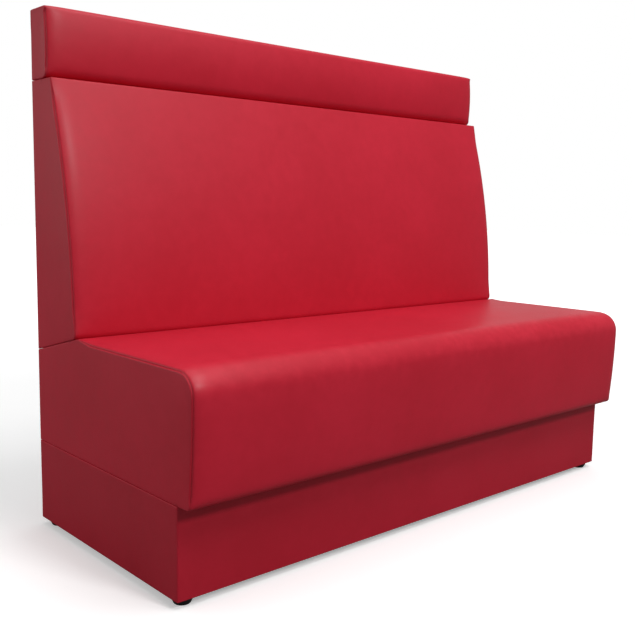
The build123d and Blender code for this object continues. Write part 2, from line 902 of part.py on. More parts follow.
for side, hand in hands:
    with BuildPart() as back_end_rib:
        edge_x = min(side * frame_half, side * inside_half)
        rib_face = back_core(edge_x, core_inset + panel, core_rear, bottom_board_low, core_top)
        extrude(rib_face, amount=board)
        drill(back_screw_places)
    back_end_rib.part.label = f"back_end_rib_{hand}"
    export_step(back_end_rib.part, f"parts/back_end_rib_{hand}.step")

with BuildPart() as back_inner_ribs:
    for side, hand in hands:
        edge_x = side * rib_x - board / 2
        rib_face = back_core(
            edge_x, core_inset + panel, core_rear, bottom_board_high, head_bolt_bottom
        )
        extrude(rib_face, amount=board)
back_inner_ribs.part.label = "back_inner_ribs"
export_step(back_inner_ribs.part, "parts/back_inner_ribs.step")

with BuildPart() as back_front_panel:
    panel_face = back_core(-frame_half, core_inset, core_rear, bottom_board_low, core_top)
    extrude(panel_face, amount=2 * frame_half)
    behind_panel = back_core(-half_width, core_inset + panel, rear_y, 0, back_top)
    extrude(behind_panel, amount=width, mode=Mode.SUBTRACT)
back_front_panel.part.label = "back_front_panel"
export_step(back_front_panel.part, "parts/back_front_panel.step")

with BuildPart() as back_rear_panel:
    block(
        (-frame_half, core_rear, joint_z(core_rear) + bottom_board_low),
        (frame_half, frame_rear, core_top),
    )
back_rear_panel.part.label = "back_rear_panel"
export_step(back_rear_panel.part, "parts/back_rear_panel.step")

# Back upholstery

with BuildPart() as back_pad:
    pad_face = back_core(-frame_half, skin + wadding, core_rear, bottom_board_low, core_top)
    extrude(pad_face, amount=2 * frame_half)
    behind_pad = back_core(-half_width, core_inset - cover_gap, rear_y, 0, back_top)
    extrude(behind_pad, amount=width, mode=Mode.SUBTRACT)
back_pad.part.label = "back_pad"
export_step(back_pad.part, "parts/back_pad.step")

cover_low = section_gap + vinyl * slope_stretch
with BuildPart() as back_cover:
    add(soft_form(back_outline))
    back_hollow = back_core(-half_width, vinyl + wadding, rear_y + overrun, cover_low, back_top - vinyl)
    extrude(back_hollow, amount=width, mode=Mode.SUBTRACT)
    block(
        (-half_width, crease_y + core_inset + return_width, seat_height - 2 * joint_rear_drop),
        (half_width, rear_y + overrun, seat_height),
        mode=Mode.SUBTRACT,
    )
    block(
        (-half_width, rear_y - back_crest_depth + core_inset, head_bolt_bottom),
        (half_width, rear_y + overrun, back_top + section_gap),
        mode=Mode.SUBTRACT,
    )
back_cover.part.label = "back_cover"
export_step(back_cover.part, "parts/back_cover.step")

for side, hand in hands:
    with BuildPart() as back_side_cover:
        side_cover(back_outline, side)
    back_side_cover.part.label = f"back_side_cover_{hand}"
    export_step(back_side_cover.part, f"parts/back_side_cover_{hand}.step")

with BuildPart() as back_rear_lining:
    rear_lining(joint_z(rear_y) + bottom_board_low, core_top)
back_rear_lining.part.label = "back_rear_lining"
export_step(back_rear_lining.part, "parts/back_rear_lining.step")

# Head frame

head_frame_top = height - skin - wadding - head_top_foam
head_inner_half = frame_half - head_board

head_screw_places = []
for side, hand in hands:
    for level in (head_frame_bottom + head_board / 2, head_frame_top - head_board / 2):
        head_point = (side * frame_half, (head_inner_front + frame_rear) / 2, level)
        head_screw_places.append(screw_place(head_point, (side, 0, 0)))

with BuildPart() as head_bottom_board:
    block(
        (-head_inner_half, head_inner_front, head_frame_bottom),
        (head_inner_half, frame_rear, head_frame_bottom + head_board),
    )
    bolt_holes(head_bolt_places, head_bolt_grip)
    drill(head_screw_places)
head_bottom_board.part.label = "head_bottom_board"
export_step(head_bottom_board.part, "parts/head_bottom_board.step")

with BuildPart() as head_top_board:
    block(
        (-head_inner_half, head_inner_front, head_frame_top - head_board),
        (head_inner_half, frame_rear, head_frame_top),
    )
    drill(head_screw_places)
head_top_board.part.label = "head_top_board"
export_step(head_top_board.part, "parts/head_top_board.step")

with BuildPart() as head_front_board:
    block(
        (-frame_half, head_board_front, head_frame_bottom),
        (frame_half, head_inner_front, head_frame_top),
    )
head_front_board.part.label = "head_front_board"
export_step(head_front_board.part, "parts/head_front_board.step")

for side, hand in hands:
    with BuildPart() as head_end_board:
        end_board(
            side, head_inner_front, frame_rear, head_frame_bottom, head_frame_top, head_board
        )
        drill(head_screw_places)
    head_end_board.part.label = f"head_end_board_{hand}"
    export_step(head_end_board.part, f"parts/head_end_board_{hand}.step")

# Head upholstery

with BuildPart() as head_pad:
    extrude(head_core(-frame_half, skin), amount=2 * frame_half)
    block(
        (-half_width, head_board_front - cover_gap, back_top - overrun),
        (half_width, rear_y + overrun, head_frame_top + cover_gap),
        mode=Mode.SUBTRACT,
    )
head_pad.part.label = "head_pad"
export_step(head_pad.part, "parts/head_pad.step")

with BuildPart() as head_cover:
    add(soft_form(head_outline))
    extrude(head_core(-half_width, vinyl), amount=width, mode=Mode.SUBTRACT)
    block(
        (-half_width, head_inner_front, back_top - overrun),
        (half_width, rear_y + overrun, head_frame_bottom),
        mode=Mode.SUBTRACT,
    )
    block(
        (-half_width, frame_rear, back_top - overrun),
        (half_width, rear_y + overrun, height - 2 * return_width),
        mode=Mode.SUBTRACT,
    )
head_cover.part.label = "head_cover"
export_step(head_cover.part, "parts/head_cover.step")

for side, hand in hands:
    with BuildPart() as head_end_cover:
        side_cover(head_outline, side)
    head_end_cover.part.label = f"head_end_cover_{hand}"
    export_step(head_end_cover.part, f"parts/head_end_cover_{hand}.step")

with BuildPart() as head_rear_lining:
    rear_lining(head_frame_bottom, height - 2 * return_width - cover_gap)
head_rear_lining.part.label = "head_rear_lining"
export_step(head_rear_lining.part, "parts/head_rear_lining.step")

# Bolts, washers and tee nuts of the three joints between the sections, and the frames' screws

section_joints = (
    ("seat", seat_bolt_places, seat_bolt_grip),
    ("back", back_bolt_places, back_bolt_grip),
    ("head", head_bolt_places, head_bolt_grip),
)

for joint, places, grip in section_joints:
    with BuildPart() as joint_bolts:
        bolts(places, grip)
    joint_bolts.part.label = f"{joint}_bolts"
    export_step(joint_bolts.part, f"parts/{joint}_bolts.step")

with BuildPart() as washers:
    for joint, places, grip in section_joints:
        flat_washers(places)
washers.part.label = "washers"
export_step(washers.part, "parts/washers.step")

with BuildPart() as tee_nuts:
    for joint, places, grip in section_joints:
        sunk_nuts(places, grip)
tee_nuts.part.label = "tee_nuts"
export_step(tee_nuts.part, "parts/tee_nuts.step")

with BuildPart() as wood_screws:
    screws(plinth_screw_places + seat_screw_places + back_screw_places + head_screw_places)
wood_screws.part.label = "wood_screws"
export_step(wood_screws.part, "parts/wood_screws.step")
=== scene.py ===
"""Dressed restaurant booth bench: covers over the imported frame, finishes, stage and camera.

Metres and radians. The origin is on the floor under the middle of the bench. X runs along the
bench, the rear face is at +Y, the sitter faces -Y, and +Z is up. Left is the -X end.
"""

import json
from math import atan, copysign, cos, exp, pi, radians, sin

import bmesh
import bpy
import numpy as np
from mathutils import Matrix, Vector, kdtree, noise


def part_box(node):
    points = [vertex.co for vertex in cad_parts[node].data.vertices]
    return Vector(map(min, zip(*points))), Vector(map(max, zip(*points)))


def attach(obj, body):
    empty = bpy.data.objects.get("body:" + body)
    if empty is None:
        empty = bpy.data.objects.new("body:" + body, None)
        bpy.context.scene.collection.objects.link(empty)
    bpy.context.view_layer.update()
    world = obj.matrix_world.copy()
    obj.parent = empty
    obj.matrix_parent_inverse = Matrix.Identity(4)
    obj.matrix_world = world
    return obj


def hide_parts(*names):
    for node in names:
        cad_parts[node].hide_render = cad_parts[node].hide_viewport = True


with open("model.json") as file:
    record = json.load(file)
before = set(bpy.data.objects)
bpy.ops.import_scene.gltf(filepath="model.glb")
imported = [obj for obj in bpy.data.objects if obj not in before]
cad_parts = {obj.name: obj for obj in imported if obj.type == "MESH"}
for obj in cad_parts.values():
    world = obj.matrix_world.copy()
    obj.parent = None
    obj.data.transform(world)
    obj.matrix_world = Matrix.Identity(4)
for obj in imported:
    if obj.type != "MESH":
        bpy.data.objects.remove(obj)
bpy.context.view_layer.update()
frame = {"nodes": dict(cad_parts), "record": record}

scene = bpy.context.scene
nodes = frame["nodes"]
hands = ((-1, "left"), (1, "right"))
rear_linings = ("seat_rear_lining", "back_rear_lining", "head_rear_lining")

# Sizes of the bench
half_width = 0.700
rear_y = 0.3125
front_y = -0.3125
height = 1.135
seat_height = 0.451
back_top = 0.987
plinth_top = 0.197
plinth_front = -0.2545
glide_height = 0.015
crease_y = 0.1205
joint_slope = 0.047 / 0.192
section_gap = 0.0003

# Upholstery
cover_wall = 0.0025
corner_round = 0.0055
board_round = 0.003
seam_turn = radians(45)
ring_turn = radians(67.5)
wrap_turns = tuple(radians(angle) for angle in (45, 30, 15, 0))
seam_dip = 0.0013
seam_reach = 0.0016
seam_waves = (1, 18, 18)  # waves a metre along X, Y and Z, as in the other waves
seam_unevenness = 0.35
# How far from a seam its dirt and painted shade reach
seam_dirt_and_shade_reach = 0.0045
end_drop = 0.006
end_reach = 0.042
end_fade = 0.055
firm_from = 0.3
firm_at = 0.7
hem = 0.004
turned_in = 0.014
turned_under = 0.0009
corner_cut = 0.0012
mesh_step = 0.0135
touching = 1e-5
panel_play = 1e-4
fully_sewn = 0.999
end_bands = ((0.012, 3), (0.030, 4))  # width and rows of each band, from the seam inwards
section_middle = 0.05
swell_power = 8
swell_at_end = 0.06
swell_by_foam = 0.6
side_rise = 0.0016
held_at_end = 0.006
tucked = board_round * (1 - cos(seam_turn))

# Cloth that blows the covers up
puff_moments = 20
cover_pressure = 4.0
side_pressure = 2.0
cloth_settings = {
    "quality": 6,
    "mass": 0.3,
    "tension_stiffness": 20,
    "compression_stiffness": 20,
    "shear_stiffness": 12,
    "bending_stiffness": 0.6,
    "vertex_group_mass": "held",
    "use_pressure": True,
}

# Plinth cover and linings
plinth_wall = 0.0012
plinth_corner = 0.003
plinth_cut_inset = 0.004
plinth_step = 0.035
plinth_low_bands = ((0.002, 1), (0.006, 2))  # height and rows of each band, upwards
plinth_high_bands = ((0.003, 2),)
plinth_middle_steps = 11
plinth_ripple = 0.0006
plinth_waves = (4, 4, 9)
lining_inset = 0.009
lining_hem = 0.0008
lining_step = 0.0125
lining_wall = 0.0009
lining_slack = 0.0005
lining_slack_reach = 0.02
lining_waves = (7, 0, 11)
staple_pitch = 0.05
staple_pull = 0.0006
staple_pull_reach = 0.012
staple_size = (0.011, 0.0008, 0.0012)
staple_round = 0.00025
staple_stand = 0.0004
staple_end_gap = 0.015
staple_edge_gap = 0.008
staple_tilt = 0.12
staple_waves = (40, 0, 30)

# Felt, dust cloth and foam inside. A level sheet's row has its node, its finish and how far
# it is held in from its node's edges.
level_step = 0.02
level_sag = 0.1
level_sag_reach = 0.03
level_waves = (12, 12, 0)
level_wall = 0.8
level_sheets = (("seat_felt", "felt", 0), ("seat_dust_cloth", "black_cloth", lining_inset))
foam_voxels = {"seat_foam": 0.005, "seat_front_pad": 0.005, "back_pad": 0.007, "head_pad": 0.005}
foam_softening = 3

# Seat cover
seat_roll = 0.050
seat_toe = 0.020
seat_lean_turn = radians(5.37)
seat_lean_radius = 1.9878
seat_top_swell = 0.006
seat_front_swell = 0.003
seat_tuck = 0.036
seat_crease_radius = 0.006
seat_under = 0.030
seat_rise = 0.004
seat_held_crease = 0.003
seat_held_toe = 0.008

# Back cover
back_crest_y = 0.2240
back_crest_radius = 0.004
back_crest_run = 0.0073
back_crest_turn = radians(72)
back_front_radius = 1.7893
back_front_turn = radians(16.85)
back_foot_radius = 0.014
back_swell = 0.008
back_swell_y = 0.235
back_swell_fade = 0.02
back_tuck = 0.040
back_rise = 0.004
back_held_crest = 0.008
back_held_foot = 0.002

# Head cover
head_front_y = 0.2345
head_rear_fall = 0.048
head_rear_run = 0.012
head_rear_turn = 0.075
head_rear_radius = 0.020
head_top_radius = 0.004
head_lean = radians(1)
head_brow_radius = 0.012
head_chin_radius = 0.026
head_face_turn = radians(12)
head_face_radius = 0.5426
head_swell = 0.012
head_tuck = 0.030
head_rise = 0.003
head_held_rear = 0.035
head_held_chin = 0.004
head_top_firmness = 0.8

# Where the finishes are worn, and the height below which the plinth's vinyl carries painted shade
# from the seat's overhang: bands of height, and for roll_rear a band of depth
roll_front = (0.37, 0.43)
roll_top = (0.455, 0.47)
roll_rear = (-0.29, -0.2)
plinth_shade_band = (0.190, 0.197)
scuff_band = (0.001, 0.006)

# Colours of the finishes
vinyl_shade = (0.560, 0.0105, 0.0300)
vinyl_light = (0.640, 0.0145, 0.0400)
vinyl_rubbed = (0.690, 0.0260, 0.0520)
# Dark red of dirt in the seams, also used as painted shade in the seam valleys and on the plinth
# under the seat
vinyl_dirt_and_shade = (0.150, 0.0030, 0.0070)
ply_dark = (0.42, 0.24, 0.11)
ply_pale = (0.68, 0.48, 0.27)
foam_deep = (0.62, 0.45, 0.17)
foam_pale = (0.82, 0.70, 0.40)
felt_dark = (0.10, 0.10, 0.11)
felt_pale = (0.34, 0.33, 0.33)
felt_fleck = (0.30, 0.22, 0.18)
cloth_dark = (0.008, 0.008, 0.009)
cloth_pale = (0.045, 0.045, 0.048)
spring_dark = (0.20, 0.19, 0.18)
spring_pale = (0.42, 0.41, 0.40)
zinc_dark = (0.48, 0.49, 0.50)
zinc_pale = (0.70, 0.71, 0.72)
plastic_dark = (0.006, 0.006, 0.007)
plastic_pale = (0.016, 0.016, 0.017)
plastic_scuffed = (0.07, 0.07, 0.07)

# Floor and light. A soft light's row has its place, its aim, its width, depth and power.
floor_reach = 20
floor_grey = (0.88, 0.88, 0.88)
floor_pale = (0.92, 0.92, 0.92)
floor_bounce = (0.21, 0.21, 0.21, 1)
glow_near = (0.35, 0.35, 0.35)
glow_far = (1.0, 1.0, 1.0)
glow_from = 1.2
glow_to = 5.0
surround_light = 0.24
backdrop_light = 1.0
soft_lights = {
    "key_light": ((0.7, -2.7, 5.9), (0, 0, 0.5), 3.0, 2.4, 128),
    "top_light": ((0.2, 0.3, 4.6), (0, 0, 0.5), 4.0, 3.0, 50),
    "front_light": ((0.1, -3.9, 3.3), (0, 0, 0.4), 0.8, 0.7, 70),
    "right_light": ((3.9, 2.4, 1.5), (0.6, 0.2, 0.5), 3.2, 2.4, 8),
    "left_light": ((-3.8, 2.0, 1.5), (-0.7, 0, 0.7), 3.4, 2.4, 36),
}

# Camera, solved from the straight edges of the photograph
camera_place = (-1.5074, -1.5198, 0.7383)
camera_yaw = 0.73112
camera_pitch = 0.13161
camera_roll = 0.0183
camera_lens = 49.03


def joint_z(y):
    """Height of the sloping joint between the seat and the back."""
    return seat_height - joint_slope * (y - crease_y)


def swell_along(x):
    """Fullness of a padded section along the bench, least at its ends."""
    share = min(1.0, abs(x) / half_width)
    return swell_at_end + (1 - swell_at_end) * (1 - share**swell_power)


def clamp(value):
    """Value kept between 0 and 1."""
    return max(0.0, min(1.0, value))


def uneven(waves, x, y, z):
    """Unevenness from -1 to 1 at a place, with so many waves a metre along each axis."""
    return noise.noise(Vector((waves[0] * x, waves[1] * y, waves[2] * z)))


# Making pieces


def piece_from(mesh, name):
    """A new object that holds a finished mesh."""
    data = bpy.data.meshes.new(name)
    mesh.to_mesh(data)
    mesh.free()
    piece = bpy.data.objects.new(name, data)
    scene.collection.objects.link(piece)
    data.polygons.foreach_set("use_smooth", [True] * len(data.polygons))
    return piece


def finish_piece(piece, material, slot, *replaced):
    """Gives a piece its finish and its place on the bench, and hides the solids that it stands
    for.
    """
    piece.data.materials.clear()
    piece.data.materials.append(material)
    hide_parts(*replaced)
    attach(piece, "root")
    return piece


def round_off(piece):
    """Rounds a piece by one subdivision."""
    rounding = piece.modifiers.new("rounding", "SUBSURF")
    rounding.levels = 1
    rounding.render_levels = 1


def add_wall(piece, thickness):
    """Gives a sheet its thickness, inwards."""
    wall = piece.modifiers.new("wall", "SOLIDIFY")
    wall.thickness = thickness
    wall.offset = -1


def mark_seams(mesh):
    """Keeps each point's nearness to a seam, for the dirt and painted shade of the finish."""
    seam = mesh.verts.layers.float.new("seam")
    border = [v.co for v in mesh.verts if v.is_boundary]
    tree = kdtree.KDTree(len(border))
    for index, place in enumerate(border):
        tree.insert(place, index)
    tree.balance()
    for v in mesh.verts:
        v[seam] = exp(-((tree.find(v.co)[2] / seam_dirt_and_shade_reach) ** 2))


def cut_across(mesh, place, axis):
    """Cuts a mesh square across an axis at one place."""
    normal = Vector((axis == 0, axis == 1, axis == 2))
    everything = list(mesh.verts) + list(mesh.edges) + list(mesh.faces)
    bmesh.ops.bisect_plane(
        mesh, geom=everything, dist=touching, plane_co=normal * place, plane_no=normal
    )


def grid_cuts(mesh, low, high, step, axis):
    """Cuts a mesh square across an axis, a step apart."""
    count = round((high - low) / step)
    for index in range(1, count):
        cut_across(mesh, low + (high - low) * index / count, axis)


def straight(mesh, line, move, steps):
    """Draws a line of edges along a straight run."""
    step = Vector(move) / steps
    made = bmesh.ops.spin(
        mesh, geom=line, cent=(0, 0, 0), axis=(1, 0, 0), dvec=step, angle=0, steps=steps
    )
    return made["geom_last"]


class ProfileWalk:
    """Draws a line across the bench along a side profile of straight runs and arcs."""

    def __init__(self, mesh, y, z, heading):
        self.mesh = mesh
        self.line = line_across(mesh, y, z)
        self.y = y
        self.z = z
        self.heading = heading

    def way(self, turned=0.0):
        """Direction in Y and Z: 0 is forwards and 90 degrees is down."""
        return -cos(self.heading + turned), -sin(self.heading + turned)

    def run(self, length):
        """Straight on."""
        way_y, way_z = self.way()
        move = (0, way_y * length, way_z * length)
        self.line = straight(self.mesh, self.line, move, max(1, round(length / mesh_step)))
        self.y += move[1]
        self.z += move[2]

    def turn(self, angle, radius, steps):
        """Round an arc that touches the run before it."""
        aside_y, aside_z = self.way(copysign(pi / 2, angle))
        centre_y = self.y + radius * aside_y
        centre_z = self.z + radius * aside_z
        made = bmesh.ops.spin(
            self.mesh,
            geom=self.line,
            cent=(0, centre_y, centre_z),
            axis=(1, 0, 0),
            dvec=(0, 0, 0),
            angle=angle,
            steps=steps,
        )
        self.line = made["geom_last"]
        arm_y = self.y - centre_y
        arm_z = self.z - centre_z
        self.y = centre_y + arm_y * cos(angle) - arm_z * sin(angle)
        self.z = centre_z + arm_y * sin(angle) + arm_z * cos(angle)
        self.heading += angle


def line_across(mesh, y, z):
    """Line of edges from seam to seam along the bench, finer near both ends."""
    seam_run = corner_round * seam_turn
    near_end = ((seam_reach, 2), (seam_run - seam_reach, 2), *end_bands)
    middle = 2 * (half_width - corner_round - sum(length for length, steps in end_bands))
    runs = (*near_end, (middle, round(middle / mesh_step)), *reversed(near_end))
    line = [mesh.verts.new((corner_round - half_width - seam_run, y, z))]
    for length, steps in runs:
        line = straight(mesh, line, (length, 0, 0), steps)
    return list(mesh.verts) + list(mesh.edges)


def puff(piece, held, pressure, rise):
    """Blows a panel up with cloth, held where it is sewn or rests, no further than its rise."""
    data = piece.data
    count = len(data.vertices)
    rest = np.empty(3 * count, np.float32)
    data.vertices.foreach_get("co", rest)
    group = piece.vertex_groups.new(name="held")
    group.add([v.index for v in data.vertices if held(v.co)], 1.0, "REPLACE")
    cloth = piece.modifiers.new("cloth", "CLOTH")
    for name, value in cloth_settings.items():
        setattr(cloth.settings, name, value)
    cloth.settings.uniform_pressure_force = pressure
    cloth.settings.effector_weights.gravity = 0
    cloth.collision_settings.use_collision = False
    cloth.point_cache.frame_start = 1
    cloth.point_cache.frame_end = puff_moments
    for moment in range(puff_moments):
        scene.frame_set(1 + moment)
    blown = piece.evaluated_get(bpy.context.evaluated_depsgraph_get()).data
    there = np.empty(3 * count, np.float32)
    blown.vertices.foreach_get("co", there)
    piece.modifiers.remove(cloth)
    piece.vertex_groups.clear()
    scene.frame_set(1)
    shift = (there - rest).reshape(-1, 3)
    furthest = float(np.linalg.norm(shift, axis=1).max())
    shift *= rise / max(furthest, rise)
    data.vertices.foreach_set("co", rest + shift.ravel())
    data.update()


def face_outwards(mesh):
    """Turns every face of an open sheet away from the middle of its section."""
    bmesh.ops.recalc_face_normals(mesh, faces=mesh.faces)
    middle = sum((v.co for v in mesh.verts), Vector()) / len(mesh.verts)
    middle.y += section_middle
    facing = sum(f.calc_area() * f.normal.dot(f.calc_center_median() - middle) for f in mesh.faces)
    if facing < 0:
        bmesh.ops.reverse_faces(mesh, faces=mesh.faces)


def on_board(share):
    """How firmly a cover lies on a board, from how far it faces the board's way."""
    return clamp((share - firm_from) / (firm_at - firm_from))


def nearness(distance):
    """How near a place is to a fixed edge of its cover, from 0 to 1."""
    return 1 - clamp(distance / end_fade)


def curl_ends(mesh, firmness):
    """Eases both ends of a cover down and round its section's corner, less where it is firm."""
    flat = half_width - corner_round
    seam_run = corner_round * seam_turn
    end = mesh.verts.layers.float.new("end")
    mesh.normal_update()
    inward = {v: -Vector((0, v.normal.y, v.normal.z)).normalized() for v in mesh.verts}
    for v, drop in inward.items():
        firm = firmness(v.co, -drop)
        bend = corner_round + (board_round - corner_round) * firm
        eased = clamp((abs(v.co.x) - half_width + end_reach) / end_reach)
        v.co += drop * end_drop * (1 - firm) * eased**3
        beyond = abs(v.co.x) - flat
        if beyond <= 0:
            continue
        if beyond > seam_run - touching:
            v[end] = copysign(1, v.co.x)
        angle = beyond / corner_round
        sunk = seam_dip * (1 - firm)
        ripple = seam_unevenness * uneven(seam_waves, *v.co)
        dip = sunk * (1 + ripple) * exp(-(((seam_run - beyond) / seam_reach) ** 2))
        x = half_width - bend * (1 - sin(angle)) - dip * sin(seam_turn)
        v.co += drop * (bend * (1 - cos(angle)) + dip * cos(seam_turn))
        v.co.x = copysign(x, v.co.x)
    return inward


def fold_cover_hems(mesh, inward):
    """Folds both sewn ends of a cover down into their seams."""
    end = mesh.verts.layers.float["end"]
    edges = [e for e in mesh.edges if e.is_boundary and all(v[end] for v in e.verts)]
    drops = {tuple(v.co): inward[v] for e in edges for v in e.verts}
    made = bmesh.ops.extrude_edge_only(mesh, edges=edges)["geom"]
    for v in [g for g in made if isinstance(g, bmesh.types.BMVert)]:
        drop = drops[tuple(v.co)]
        v.co += hem * cos(seam_turn) * drop
        v.co.x -= copysign(hem * sin(seam_turn), v.co.x)


def seam_row(cover, side):
    """New mesh that holds only a cover's row of edges at one end."""
    mesh = bmesh.new()
    mesh.from_mesh(cover.data)
    end = mesh.verts.layers.float["end"]
    bmesh.ops.delete(mesh, geom=[v for v in mesh.verts if v[end] != side], context="VERTS")
    return mesh


def border_ways(edges):
    """Way out of a panel, in its own plane, at each point of a border, mitred at corners."""
    ways = {}
    for edge in edges:
        face = edge.link_faces[0]
        along = edge.verts[1].co - edge.verts[0].co
        way = along.cross(Vector((1, 0, 0))).normalized()
        middle = (edge.verts[0].co + edge.verts[1].co) / 2
        if way.dot(middle - face.calc_center_median()) < 0:
            way.negate()
        for v in edge.verts:
            ways.setdefault(v, []).append(way)
    mitres = {}
    for v, met in ways.items():
        total = sum(met, Vector())
        mitres[v] = total * len(met) / total.length_squared
    return mitres


def wrap_round(mesh, edges, side):
    """Wraps a border right round the corner of its section and turns it in."""
    ways = border_ways(edges)
    moves = []
    for high, low in zip(wrap_turns, wrap_turns[1:]):
        moves.append((board_round * (cos(low) - cos(high)), board_round * (sin(high) - sin(low))))
    moves.append((-turned_under, 2 * turned_under))
    moves.append((0, turned_in))
    for outwards, back in moves:
        starts = {tuple(v.co): way for v, way in ways.items()}
        made = bmesh.ops.extrude_edge_only(mesh, edges=edges)["geom"]
        edges = [g for g in made if isinstance(g, bmesh.types.BMEdge) and g.is_boundary]
        ways = {v: starts[tuple(v.co)] for v in made if isinstance(v, bmesh.types.BMVert)}
        edges = [e for e in edges if all(v in ways for v in e.verts)]
        for v, way in ways.items():
            v.co += outwards * way
            v.co.x -= side * back


def raise_rings(border, side):
    """Rounds a side panel's two outer rings up from its border to the flat of the panel."""
    part_way = (1 - sin(ring_turn)) / (1 - sin(seam_turn))
    for v in border:
        first = next(e.other_vert(v) for e in v.link_edges if not e.is_boundary)
        beyond = [e.other_vert(first) for e in first.link_edges]
        second = next(w for w in beyond if w is not v and len(w.link_edges) == 3)
        first.co.x = side * (half_width - part_way * (half_width - abs(v.co.x)))
        second.co.x = side * half_width


def close_round(mesh, side, corners):
    """Closes a seam row round the rear corners of its section and fills it with one face."""
    ends = [v for v in mesh.verts if len(v.link_edges) == 1]
    first, last = sorted(ends, key=lambda v: (v.co.yz - Vector(corners[0])).length)
    added = [mesh.verts.new((first.co.x, y, z)) for y, z in corners]
    chain = [first, *added, last]
    for a, b in zip(chain, chain[1:]):
        mesh.edges.new((a, b))
    bmesh.ops.contextual_create(mesh, geom=list(mesh.edges))
    face = max(mesh.faces, key=lambda f: f.calc_area())
    face.normal_update()
    if face.normal.x * side < 0:
        bmesh.ops.reverse_faces(mesh, faces=[face])
    return face


def side_panel(cover, side, corners, name):
    """Side panel inside a cover's seam row, puffed and wrapped round its section's other edges."""
    mesh = seam_row(cover, side)
    face = close_round(mesh, side, corners)
    for low, high in ((seam_turn, ring_turn), (ring_turn, pi / 2)):
        across = board_round * (cos(low) - cos(high))
        bmesh.ops.inset_region(
            mesh, faces=[face], thickness=across, use_boundary=True, use_even_offset=True
        )
    raise_rings([v for v in mesh.verts if v.is_boundary], side)
    box_low = Vector([min(v.co[axis] for v in mesh.verts) for axis in range(3)])
    box_high = Vector([max(v.co[axis] for v in mesh.verts) for axis in range(3)])
    grid_cuts(mesh, box_low.y, box_high.y, mesh_step, 1)
    grid_cuts(mesh, box_low.z, box_high.z, mesh_step, 2)
    for y, z in corners:
        cut_across(mesh, y - corner_cut, 1)
        cut_across(mesh, z - copysign(corner_cut, z - (box_low.z + box_high.z) / 2), 2)
    panel = piece_from(mesh, name)
    puff(panel, lambda co: abs(co.x) < half_width - panel_play, side_pressure, side_rise)
    mesh = bmesh.new()
    mesh.from_mesh(panel.data)
    end = mesh.verts.layers.float["end"]
    border = [e for e in mesh.edges if e.is_boundary]
    sewn = [e for e in border if all(side * v[end] > fully_sewn for v in e.verts)]
    wrapped = [e for e in border if e not in set(sewn)]
    made = bmesh.ops.extrude_edge_only(mesh, edges=sewn)["geom"]
    for v in [g for g in made if isinstance(g, bmesh.types.BMVert)]:
        v.co.x -= side * hem
    wrap_round(mesh, wrapped, side)
    mark_seams(mesh)
    mesh.to_mesh(panel.data)
    mesh.free()
    round_off(panel)
    add_wall(panel, cover_wall)
    return panel


def cover_from(mesh, name, swelling, held, firmness, rise):
    """Padded cover made of an open sheet: swollen, blown up, and curled down to its seams."""
    face_outwards(mesh)
    for v in mesh.verts:
        v.co += swell_by_foam * swell_along(v.co.x) * Vector(swelling(v.co.y, v.co.z))
    cover = piece_from(mesh, name)
    puff(cover, lambda co: held(co) or abs(co.x) > half_width - held_at_end, cover_pressure, rise)
    mesh = bmesh.new()
    mesh.from_mesh(cover.data)
    inward = curl_ends(mesh, firmness)
    mesh.to_mesh(cover.data)
    fold_cover_hems(mesh, inward)
    return cover, mesh


def close_cover(cover, mesh):
    """Puts a cover's hems on once its side panels have been cut from its seam rows."""
    mark_seams(mesh)
    mesh.to_mesh(cover.data)
    mesh.free()
    round_off(cover)
    add_wall(cover, cover_wall)


# Seat


def seat_swelling(y, z):
    """How far the seat's foam swells the cover, up on the top and forwards on the front."""
    roll_y = front_y + seat_front_swell + seat_roll
    share = clamp((crease_y - y) / (crease_y - roll_y))
    full = 1 - (1 - share) ** 2
    face = clamp((z - plinth_top - seat_toe) / (seat_height - seat_roll - plinth_top - seat_toe))
    return 0, -seat_front_swell * full, seat_top_swell * full * face


def seat_held(co):
    """Whether the seat's cover is fixed there, behind its crease or at its toe."""
    return co.y > crease_y - seat_held_crease or co.z < plinth_top + seat_held_toe


def seat_firmness(co, way):
    """How firmly the seat's cover lies, from 0 to 1: on its boards below and near its crease."""
    return max(on_board(-way.z), nearness(crease_y - co.y))


def make_seat():
    """Cover of the seat's top and rolled front in one panel, with its two side panels."""
    slope = atan(joint_slope)
    mesh = bmesh.new()
    walk = ProfileWalk(mesh, crease_y + seat_tuck, joint_z(crease_y + seat_tuck), -slope)
    walk.run(seat_tuck / cos(slope))
    walk.turn(slope, seat_crease_radius, steps=2)
    walk.run(walk.y - (front_y + seat_front_swell + seat_roll))
    walk.turn(pi / 2, seat_roll, steps=8)
    walk.turn(seat_lean_turn, seat_lean_radius, steps=14)
    walk.turn(pi / 2 - seat_lean_turn, seat_toe, steps=4)
    walk.run(seat_under)
    cover, mesh = cover_from(
        mesh, "seat_vinyl", seat_swelling, seat_held, seat_firmness, seat_rise
    )
    corners = ((rear_y - tucked, joint_z(rear_y) - tucked), (rear_y - tucked, plinth_top + tucked))
    sides = [side_panel(cover, side, corners, f"seat_vinyl_{hand}") for side, hand in hands]
    close_cover(cover, mesh)
    return cover, sides


# Back


def back_swelling(y, z):
    """How far the back's foam swells its front, none at the crest."""
    share = clamp((z - seat_height) / (back_top - back_crest_radius - seat_height))
    front = clamp((back_swell_y - y) / back_swell_fade)
    return 0, -back_swell * (1 + share - 2 * share**2) * front, 0


def back_held(co):
    """Whether the back's cover is fixed there, on its crest or at its foot."""
    return co.z > back_top - back_held_crest or co.z < seat_height + back_held_foot


def back_firmness(co, way):
    """How firmly the back's cover lies, from 0 to 1: on its boards and near its crest and foot."""
    to_edge = min(back_top - co.z, co.z - seat_height)
    return max(on_board(abs(way.z)), nearness(to_edge))


